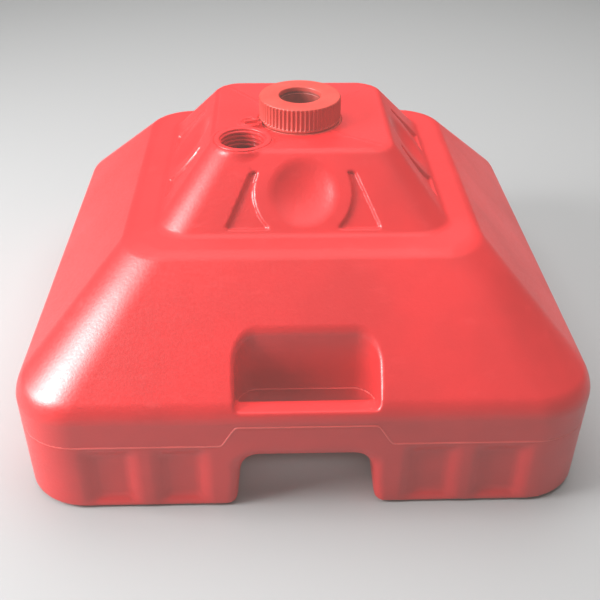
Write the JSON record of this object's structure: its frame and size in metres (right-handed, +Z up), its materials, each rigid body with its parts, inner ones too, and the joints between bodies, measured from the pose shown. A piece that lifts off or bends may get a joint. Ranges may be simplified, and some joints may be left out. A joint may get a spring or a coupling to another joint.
{
  "type": "water filled barrier base",
  "caption": "Hollow red plastic ballast base with sloping square tiers, carrying handles front and back, a threaded filling mouth, a vent plug and a collar nut that clamps an upright pole.",
  "frame": {"origin": "the middle of the underside, on the ground", "axes": "+Z up along the pole socket; the two carrying handles look along -Y and +Y, and the filling mouth is in the corner towards -X and -Y"},
  "size_m": [0.5, 0.5, 0.282],
  "materials": {
    "tank": "satin moulded polyethylene with a faint mottle",
    "fittings": "satin moulded plastic, slightly more orange than the tank",
    "liner": "matt grey extruded plastic",
    "bearing_plastic": "smooth natural nylon",
    "seal": "matt black rubber"
  },
  "bodies": {
    "tank": {"tank_upper": "tank", "tank_lower": "tank", "neck": "fittings", "fill_neck": "tank", "pole_tube": "liner", "tube_seal": "seal"},
    "clamp": {"collet": "bearing_plastic", "slip_washer": "bearing_plastic"},
    "nut": {"collar_nut": "fittings"},
    "vent_lift": {"vent_seal": "seal"},
    "vent": {"vent_plug": "tank"}
  },
  "joints": [
    {"name": "clamp_slide", "type": "slide", "parent": "tank", "child": "clamp", "axis": [0, 0, 1], "range_m": [0, 0.01]},
    {"name": "nut_turn", "type": "hinge", "parent": "clamp", "child": "nut", "pos_m": [0, 0, 0.2706], "axis": [0, 0, 1], "range_deg": [0, 720]},
    {"name": "vent_slide", "type": "slide", "parent": "tank", "child": "vent_lift", "axis": [0, 0, 1], "range_m": [0, 0.005]},
    {"name": "vent_turn", "type": "hinge", "parent": "vent_lift", "child": "vent", "pos_m": [-0.04652, -0.01602, 0.2613], "axis": [0, 0, 1], "range_deg": [0, 900]}
  ],
  "couplings": [
    {"joint": "clamp_slide", "follows": "nut_turn", "m_per_rad": 0.00079577},
    {"joint": "vent_turn", "follows": "vent_slide", "rad_per_m": 3141.6}
  ]
}
